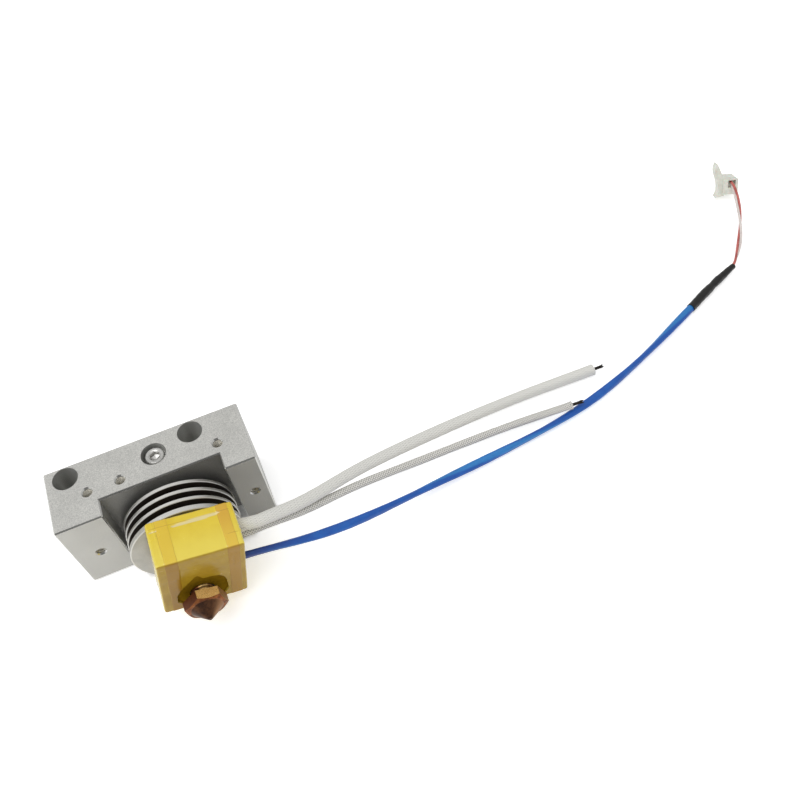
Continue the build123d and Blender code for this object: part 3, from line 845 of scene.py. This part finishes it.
def wrap_relief(points, facing):
    """How far the film stands out from the even rounded box."""
    low, high = WRAP_LOW, WRAP_HIGH
    u, v, z = points.T
    front, under = (ramp(-facing[:, k], 0.5, 0.9) for k in (1, 2))
    side = ramp(np.abs(facing[:, 0]), 0.5, 0.9)
    wavy_u = u + 0.10 * np.sin(z * 0.9 + v * 0.5)
    overlap = between(wavy_u, *LEFT_BAND, 0.09) + between(wavy_u, *RIGHT_BAND, 0.09)
    relief = FILM_STEP * (1 - side) * overlap
    top_edge = high[2] - GAP_DROP + 0.10 * (u - low[0]) / (high[0] - low[0])
    relief += 0.09 * front * ramp(z, top_edge - 0.06, top_edge + 0.06)
    relief += 0.05 * under * between(v, low[1] + 3.4, low[1] + 8.5, 0.12)
    # Creases: short folds, raised or sunk.
    left_fold = bell(u - low[0] - 1.75 - 0.05 * (high[2] - z), 0.16)
    relief += 0.14 * front * left_fold * ramp(z, low[2] + 2.0, low[2] + 3.5)
    right_fold = bell(z - low[2] - 4.0 - 0.06 * (u - 9), 0.16)
    relief += 0.14 * front * right_fold * between(u, 8.0, 11.0, 0.3)
    relief -= 0.12 * under * bell(u - 9.0 + 0.03 * (v + 12), 0.15) * between(v, -15.5, -8.5, 0.5)
    relief += 0.12 * side * bell(z - low[2] - 6.2 - 0.18 * (v + 8), 0.22)
    # Soft padding under the film: gently crowned faces, and shallow dents.
    from_middle = (2 * z - low[2] - high[2]) / (high[2] - low[2])
    upright = 1 - ramp(np.abs(facing[:, 2]), 0.3, 0.9)
    relief += 0.10 * upright * (1 - from_middle ** 2) - 0.12
    relief += 0.07 * rough_field(points, 6.0, 1, 2)
    return relief + 0.012 * rough_field(points * (1, 0.5, 1.4), 1.6, 2, 2)


def gap_mask(points, facing):
    """1 in the lens-shaped gap where the padding shows through the front face's film."""
    u, _, z = points.T
    middle, half = 2.0, 6.2
    t = np.sqrt(np.clip(1 - ((u - middle) / half) ** 2, 0, 1))
    centre = WRAP_HIGH[2] - GAP_DROP - 0.45 + 0.03 * (u - middle)
    lens = (1 - ramp(np.abs(z - centre), 0.46 * t, 0.46 * t + 0.14)) * (t > 0)
    sliver = between(u, WRAP_LOW[0] + 0.7, WRAP_LOW[0] + 2.6, 0.15)
    sliver *= between(z, centre - 0.14, centre + 0.12, 0.06)
    return ramp(-facing[:, 1], 0.6, 0.9) * np.maximum(lens, sliver)


def wrap_profile():
    """Rings up the wrap from one opening's edge to the other's, as (elevation, z, share in).

    The elevation is the way the film faces, from straight down to straight up.
    """
    low, high = WRAP_LOW[2], WRAP_HIGH[2]
    bend = np.radians(np.linspace(0, 90, 8)[1:])
    rings = [(-math.pi / 2, low, share) for share in np.linspace(1, 0, 34)]
    rings += [(a - math.pi / 2, low + CORNER * (1 - math.cos(a)), 0) for a in bend]
    rings += [(0, z, 0) for z in np.linspace(low + CORNER, high - CORNER, 44)[1:]]
    rings += [(a, high - CORNER * (1 - math.sin(a)), 0) for a in bend]
    return rings + [(math.pi / 2, high, share) for share in np.linspace(0, 1, 26)[1:]]


def film_wrap(material):
    """The film over its padding: one closed sheet with a ragged opening at the nozzle."""
    outline, normals = rounded_outline(WRAP_LOW, WRAP_HIGH, CORNER, 0.24)
    around = len(outline)
    inner = outline - normals * CORNER
    angles = np.arctan2(inner[:, 1], inner[:, 0])
    cut = ring(cut_out_radius(angles, 0.10), angles, WRAP_LOW[2])
    top = ring(4.1 + 0.25 * np.sin(angles * 3) + 0.12 * np.sin(angles * 7 + 1), angles, WRAP_HIGH[2])
    rows, facing = [], []
    for elevation, z, share in wrap_profile():
        outward, upward = math.cos(elevation), math.sin(elevation)
        row = at_height(outline - normals * CORNER * (1 - outward), z)
        rows.append(row * (1 - share) + (cut if upward < 0 else top) * share)
        facing.append(at_height(normals * outward, upward))
    points, facing = np.vstack(rows), np.vstack(facing)
    gap = gap_mask(points, facing)
    relief = wrap_relief(points, facing) - 0.16 * gap
    # The film is pushed in where a lead leaves, with a raised lip round it.
    shade = np.zeros(len(points))
    on_right = ramp(facing[:, 0], 0.6, 0.9)
    for v, z, radius in lead_exits():
        distance = np.hypot(points[:, 1] - v, points[:, 2] - z)
        hole = on_right * (1 - ramp(distance, radius, radius + 0.35))
        relief += 0.22 * on_right * bell(distance - radius - 0.6, 0.4)
        relief = relief * (1 - hole) - 1.3 * hole
        shade = np.maximum(shade, hole)
    points = points + facing * relief[:, None]
    # The sheet turns in at both openings, so that its edge shows a thickness.
    turned_up = points[:around] * (0.995, 0.995, 1) + (0, 0, 0.75)
    turned_down = points[-around:] - (0, 0, 0.7)
    points = np.vstack([turned_up, points, turned_down])
    stored = {"gap": np.pad(gap, around), "deep": np.arange(len(points)) < around,
              "shade": np.concatenate([np.full(around, 0.35), shade, np.full(around, 0.8)])}
    shape = points @ OWN, grid_faces(len(rows) + 2, around)
    make_piece("film_wrap", shape, material, 50,
               ["tape_band_around", "tape_band_over"], stored, "core")


def inner_film(material):
    """The darker layer seen inside the cut-out, drawn in round the nozzle's thread."""
    angles = turns(180)
    outer = cut_out_radius(angles, 0.0) + 0.5
    uneven = np.array([noise.noise(Vector((math.cos(a) * 3, math.sin(a) * 3, 9))) for a in angles])
    hole = 3.35 + 0.12 * uneven
    z = WRAP_LOW[2] + 0.55
    rows = rings_between(ring(hole, angles, z), ring(outer, angles, z), 26)
    points = np.vstack(rows)
    points[:, 2] += 0.12 * rough_field(points, 2.2, 5, 3)
    points = np.vstack([rows[0] + (0, 0, 0.7), points])
    lip = np.arange(len(points)) < len(angles)
    shape = points @ OWN, grid_faces(len(rows) + 1, len(angles))
    make_piece("inner_film", shape, material, 50,
               stored={"deep": np.ones(len(points)), "shade": 0.9 * lip}, body="core")


def padding_shell(material):
    """The felted sleeve between the block and the film, seen through the openings."""
    low, high = limits("insulation_blanket", axes=OWN)
    low, high = low + 0.35, high - 0.35
    outline, normals = rounded_outline(low, high, 1.2, 0.6)
    inner = outline - normals * 1.2
    angles = np.arctan2(inner[:, 1], inner[:, 0])
    under, over = low[2] + 0.3, high[2] - 0.2
    rows = rings_between(ring(6.4, angles, under), at_height(inner, under), 9)
    rows += [at_height(outline, z) for z in np.linspace(low[2] + 1.0, high[2] - 1.0, 12)]
    rows += rings_between(at_height(inner, over), ring(3.6, angles, over), 9)
    points = np.vstack(rows)
    points += 0.06 * rough_field(points, 1.0, 8, 3)[:, None]
    shape = points @ OWN, grid_faces(len(rows), len(outline))
    make_piece("padding", shape, material, 60, ["insulation_blanket"], body="core")


# ---- leads

# How far from its middle each lead's own vertices lie, at most.
REACH = {"sleeved_lead_sleeve": 3.0, "sleeved_lead_insulation": 2.4, "sleeved_lead_conductor": 1.4,
         "braided_lead_cover": 1.8, "braided_lead_conductor": 1.4, "probe_lead_sleeve": 2.2}
# A lead starts this far inside the wrap.
LEAD_ROOT = 1.4
# The length of one turn of the signal wires, and the blue sleeve's turn in radians a millimetre.
WIRE_TWIST = 34.0
BLUE_TWIST = 0.07


def rooted(line, low_u):
    """A lead's line carried straight back into the wrap, to a place along u."""
    back = unit(line[0] - line[1])
    root = line[0] + back * (line[0] @ AXIS_U - low_u) / -(back @ AXIS_U)
    return np.vstack([root, (root + line[0]) / 2, line])


def lead_line(node, spacing):
    return smooth_line(rooted(centreline(node, AXIS_U, REACH[node]), WALL - LEAD_ROOT), spacing, 1)


def bend_from_wrap(piece):
    """Bakes the piece's placement into its mesh."""
    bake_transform(piece)


def open_tube(line, run, radii, wall, mouth=5.0):
    """A swept skin that turns in at its far end, as a hollow mouth, and how deep in shade each point is."""
    spacing = run[1] - run[0]
    outer = np.arange(len(line))
    inner = outer[-1] - np.arange(int(mouth / spacing))
    rim = radii[-1:] - wall * 0.5
    stations = np.concatenate([outer, outer[-1:], inner])
    shape = swept(line, np.vstack([radii, rim, radii[inner] - wall]), stations)
    depth = ramp(np.arange(len(inner)) * spacing, 0.2, 2.5)
    shade = np.repeat(np.concatenate([np.zeros(len(outer) + 1), depth]), radii.shape[1])
    return shape, np.append(shade, [0.0, 1.0])


def braid_relief(phi, s, carriers, pitch):
    """Over-and-under threads, 0 in the grooves and 1 on a thread's crown."""
    a = carriers * (phi + 2 * math.pi * s / pitch)
    b = carriers * (phi - 2 * math.pi * s / pitch)
    over = np.sin(a / 2) * np.sin(b / 2) > 0
    return np.where(over, 0.5 + 0.5 * np.cos(a), 0.5 + 0.5 * np.cos(b)) ** 0.7


def silicone_sleeve(material):
    node = "sleeved_lead_sleeve"
    line, run = lead_line(node, 0.25)
    s, phi = run[:, None], turns(80)
    relief = braid_relief(phi, s, 16, 9.0)
    radii = 1.69 + 0.04 * np.sin(s * 0.11 + 0.6) + 0.04 * ramp(s, 40, 110)
    radii = radii + 0.035 * np.cos(2 * phi + s * 0.05) + 0.012 * np.sin(s * 1.7 + 2 * np.sin(phi))
    radii = radii + 0.03 * bell(run[-1] - s, 1.2) + 0.03 * relief
    shape, shade = open_tube(line, run, radii, 0.42)
    stored = {"shade": shade, "relief": np.append(relief, np.full(len(shade) - relief.size, 0.5))}
    piece = make_piece("silicone_sleeve", shape, material, 50, [node], stored)
    bend_from_wrap(piece)


def braid_tube(name, node, base, depth, spacing, carriers, pitch, material):
    """A braided skin, frayed a little at its end."""
    line, run = lead_line(node, spacing)
    s = run[:, None]
    relief = braid_relief(turns(carriers * 6), s, carriers, pitch)
    frayed = ramp(s, run[-1] - 2.0, run[-1])
    radii = base + depth * relief + 0.02 * np.sin(s * 0.35) + 0.10 * frayed * relief
    stored = {"relief": np.append(relief, [0.2, 0.2])}
    piece = make_piece(name, swept(line, radii), material, 80, [node], stored)
    bend_from_wrap(piece)


def wound(line, radius, turn):
    """A line that winds about another."""
    firsts, seconds = carried_axes(line)
    return line + firsts * (radius * np.cos(turn))[:, None] + seconds * (radius * np.sin(turn))[:, None]


def strand_bundle(name, node, material, radius=0.5, strands=6, pitch=5.0):
    """Fine wires twisted together along a lead's middle, splayed a little at the bare end."""
    line, run = lead_line(node, 0.35)
    thin = radius / 2.9
    parts = []
    for index in range(strands):
        splay = 1 + 0.55 * ramp(run, run[-1] - 1.6, run[-1]) * (0.3 + 0.7 * ((index * 37) % 5) / 5)
        strand = wound(line, (radius - thin) * splay, 2 * math.pi * (index / strands + run / pitch))
        count = len(strand) - (index * 5) % 4
        parts.append(swept(strand[:count], np.full((count, 7), thin)))
    parts.append(swept(line[:-2], np.full((len(line) - 2, 8), radius - 1.6 * thin)))
    piece = make_piece(name, joined(parts), material, 60, [node])
    bend_from_wrap(piece)


def flat_tube_radii(s, phi, wide, narrow):
    """A slightly flattened tube whose flat side turns slowly along its length."""
    turned = phi - BLUE_TWIST * s
    shape = 1 / np.sqrt((np.cos(turned) / wide) ** 2 + (np.sin(turned) / narrow) ** 2)
    return shape + 0.012 * np.sin(s * 0.9 + 2 * np.sin(s * 0.17)) + 0.01 * np.sin(3 * turned + s * 0.4)


def blue_sleeve(material, wires):
    """The flattened blue sleeve, and the pair of wires inside it."""
    line = rooted(centreline("probe_lead_sleeve", AXIS_U, REACH["probe_lead_sleeve"]), WALL - LEAD_ROOT)
    # It runs on into the heat shrink.
    line = np.vstack([line, line[-1] + unit(line[-1] - line[-2]) * 1.5])
    line, run = smooth_line(line, 0.5, 1)
    s, phi = run[:, None], turns(32)
    # Where the painted highlight lies round the tube.
    facet = ramp(np.cos(phi - BLUE_TWIST * s - 1.0), 0.3, 0.9)
    stored = {"facet": np.append(facet, [0.0, 0.0])}
    sleeve = make_piece("blue_sleeve", swept(line, flat_tube_radii(s, phi, 1.30, 0.94)), material,
                        50, ["probe_lead_sleeve"], stored)
    pair = [swept(wound(line, offset, 2 * math.pi * run / 14), np.full((len(line), 10), 0.34))
            for offset in (-0.38, 0.38)]
    inner = make_piece("probe_wire_pair", joined(pair), wires,
                       replaces=["probe_lead_wires"])
    for piece in (sleeve, inner):
        bend_from_wrap(piece)


def shrink_tube(material):
    """Heat-shrink over the join: it shows the shoulders of the joints under it."""
    sleeve_end = centreline("probe_lead_sleeve", AXIS_U, REACH["probe_lead_sleeve"])[-2:]
    line, run = smooth_line(centreline("heat_shrink", sleeve_end[1] - sleeve_end[0], 2.6, 1.5), 0.3, 1)
    run_across = run[:, None]
    s, phi = run_across / run[-1], turns(40)
    radii = 1.42 - 0.02 * s - 0.46 * s ** 3 - 0.12 * bell(s - 0.52, 0.06)
    radii = radii + 0.09 * bell(s - 0.38, 0.10) * (1 + 0.4 * np.cos(phi))
    radii = radii + 0.09 * bell(s - 0.66, 0.08) * (1 + 0.5 * np.cos(phi + 2))
    radii = radii + 0.03 * np.sin(phi * 3 + run_across * 0.8) + 0.02 * np.sin(run_across * 2.4)
    shape, shade = open_tube(line, run, np.minimum(radii, 1.54), 0.28, mouth=2.0)
    make_piece("shrink_tube", shape, material, 50, ["heat_shrink"], {"shade": shade},
               "probe_lead")
    return line


def signal_wires(shrink_line, materials):
    """The red and white signal wires, loosely twisted about the line midway between them."""
    heading = unit(shrink_line[-1] - shrink_line[-2])
    nodes = ["signal_wire_red", "signal_wire_white"]
    middle = sum(resampled(centreline(node, heading, 1.2, 1.0), count=48)[0] for node in nodes) / 2
    root = shrink_line[-1] - heading * 2.0
    end = middle[-1] + unit(middle[-1] - middle[-2]) * 0.7
    line, run = smooth_line(np.vstack([root, middle, end]), 0.4, 2)
    tangents = unit(np.gradient(line, axis=0))
    flat = unit(np.cross(tangents, Y))
    turn = (0.6 + 2 * math.pi * run / WIRE_TWIST)[:, None]
    out = flat * np.cos(turn) + np.cross(flat, tangents) * np.sin(turn)
    s, phi = run[:, None], turns(18)
    radii = 0.41 + 0.01 * np.sin(s * 0.7) + 0.006 * np.sin(2 * phi + s)
    end = line[np.argmin(np.abs(run - 10.0))]
    for side, node, colour, material in zip((-1, 1), nodes, ("red", "white"), materials):
        shape = swept(line + side * 0.42 * out, radii)
        piece = make_piece(colour + "_wire", shape, material, replaces=[node])
        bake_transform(piece)


# ---- carried-over CAD nodes

def dress(node, material):
    for slot in NODES[node].material_slots:
        slot.link = "OBJECT"
        slot.material = material


def soften_edges(node, width):
    """Rounds a CAD node's sharp edges by modifiers, which leave its mesh as it is."""
    weld = NODES[node].modifiers.new("weld", "WELD")
    weld.merge_threshold = 0.002 * MM
    rounding = NODES[node].modifiers.new("rounding", "BEVEL")
    rounding.width = width * MM
    rounding.segments = 2
    rounding.limit_method = "ANGLE"
    rounding.angle_limit = math.radians(40)


# ---- stage

def table_top():
    """The pale table that the mounting block's back face lies on. Seen from behind, it isn't there."""
    g = Graph("table_top")
    g.colour = g.mix(g.noise(40.0), (0.93, 0.93, 0.93, 1.0), (0.96, 0.96, 0.96, 1.0))
    # It glows a little to the camera, which keeps it pale, but not in the notch or under the discs.
    covered = g.both(g.between(g.along(X), SINK_LOW[0] + 1, SINK_HIGH[0] + 2, 1.0),
                     g.between(g.along(Z), SINK_LOW[2] + 1.5, 0.0, 1.0))
    glow = g.blend(g.seen_by_camera(), 0.12, g.blend(covered, 0.42, 0.0))
    g.done(roughness=0.8, specular_ior_level=0.1, emission_color=(255, 255, 255), emission_strength=glow)
    behind = g.add("ShaderNodeNewGeometry").outputs["Backfacing"]
    g.mix_shaders(behind, g.shader.outputs[0], g.add("ShaderNodeBsdfTransparent").outputs[0])
    y = CAD_BOX[1][1] / MM + 0.4
    corners = np.array([(-1, y, -1), (1, y, -1), (1, y, 1), (-1, y, 1)]) * (1600.0, 1, 1600.0)
    new_object("table_top", new_mesh("table_top", corners, [(0, 1, 2, 3)], g.material))


def lighting():
    """White surroundings, brighter overhead, with broad and soft key and fill lights."""
    bpy.context.scene.world = bpy.data.worlds.new("studio")
    tree = Tree(bpy.context.scene.world, "ShaderNodeOutputWorld")
    place = tree.add("ShaderNodeTexCoord").outputs["Generated"]
    overhead = tree.vector("DOT_PRODUCT", place, unit((-0.25, -0.9, -0.1)))
    strength = tree.add("ShaderNodeMapRange", {0: overhead, 1: -1.0, 2: 1.0, 3: 0.35, 4: 0.95}).outputs[0]
    light = tree.add("ShaderNodeBackground", {"Strength": strength}).outputs[0]
    white = tree.add("ShaderNodeBackground", {"Color": (1.0, 1.0, 1.0, 1.0)}).outputs[0]
    tree.mix_shaders(tree.seen_by_camera(), light, white)
    lamps = (("key", (0.30, 0.92, 0.12), 1.1, 50), ("fill", (-0.5, -0.75, -0.2), 0.5, 60))
    for name, towards, energy, spread in lamps:
        lamp = bpy.data.lights.new(name, "SUN")
        lamp.energy = energy
        lamp.angle = math.radians(spread)
        holder = new_object(name, lamp)
        holder.rotation_mode = "QUATERNION"
        holder.rotation_quaternion = Vector(towards).to_track_quat("-Z", "Y")


def camera():
    """Looks down at the object on its table, from beyond the nozzle."""
    place = Vector((30.47, -208.17, -156.44))
    right = Vector((0.9212, 0.0927, -0.3780))
    down = Vector((-0.3572, 0.5869, -0.7266))
    forward = Vector((0.1544, 0.8043, 0.5738))
    lens = bpy.data.cameras.new("camera")
    lens.lens = 39.06
    lens.sensor_width = 36.0
    lens.clip_start, lens.clip_end = 0.01, 20.0
    holder = new_object("camera", lens)
    turn = Matrix((right, -down, -forward)).transposed().to_4x4()
    holder.matrix_world = Matrix.Translation(place * MM) @ turn
    bpy.context.scene.camera = holder


# ---- the whole scene

steel = plain_metal("steel", (176, 175, 172), (228, 227, 223), 0.85, 0.26, 0.6)
thread_metal = plain_metal("thread_metal", (150, 143, 126), (228, 225, 214), 0.8, 0.3, 0.4)
break_steel = plain_metal("break_steel", (140, 138, 134), (190, 188, 184), 0.9, 0.3, 0.5, 0.01, (1, 1, 8))
heater_metal = plain_metal("heater_metal", (150, 150, 146), (186, 186, 182), 0.85, 0.38, 1.0, 0.012,
                           (1, 6, 1))
charred = plain_metal("charred_copper", (28, 25, 22), (62, 56, 50), 0.7, 0.5, 0.3, 0.02)
tin = plain_metal("tin", (150, 148, 144), (200, 198, 194), 0.9, 0.3, 0.4)
liner = satin_plastic("ptfe", (226, 226, 220), (240, 240, 236), 0.45)
nylon = satin_plastic("white_nylon", (208, 209, 198), (226, 227, 216), 0.42, 2.5, 0.03, 0.15)
white_wire = satin_plastic("white_wire", (206, 196, 192), (226, 218, 212), 0.38, 3.0)
red_wire = satin_plastic("red_wire", (168, 78, 72), (196, 104, 96), 0.38, 3.0)
felt = sleeving("felt", (214, 200, 160), (232, 222, 188), 0.9, 0.3, 0.25, 0.06)
shrink = sleeving("black_shrink", (8, 8, 7), (18, 18, 16), 0.36, 0.0, 0.5, 0.03)
white_sleeve = woven("white_sleeve", (174, 173, 167), (230, 229, 223))
yarn = woven("glass_yarn", (66, 64, 60), (229, 227, 221))
film = tape_film()

for node, material in {
        "mount_block": blasted_aluminium(), "heatsink": turned_aluminium(), "nozzle": tinted_brass(),
        "heat_break": break_steel, "ptfe_liner": liner, "heater_block": heater_metal,
        "heater_cartridge": steel, "cartridge_set_screw": steel, "probe_capsule": steel,
        "probe_set_screw": steel, "connector_housing": nylon, "connector_contacts": tin}.items():
    dress(node, material)
soften_edges("connector_housing", 0.14)

tapped_threads(thread_metal)
socket_screw(steel)
film_wrap(film)
inner_film(film)
padding_shell(felt)
silicone_sleeve(white_sleeve)
braid_tube("inner_braid", "sleeved_lead_insulation", 1.08, 0.10, 0.2, 10, 6.0, yarn)
strand_bundle("sleeved_strands", "sleeved_lead_conductor", charred)
braid_tube("glass_braid", "braided_lead_cover", 1.03, 0.17, 0.14, 8, 6.5, yarn)
strand_bundle("braided_strands", "braided_lead_conductor", charred)
blue_sleeve(blue_sleeving(), white_wire)
signal_wires(shrink_tube(shrink), (red_wire, white_wire))

table_top()
lighting()
camera()
bpy.context.scene.view_settings.view_transform = "Standard"
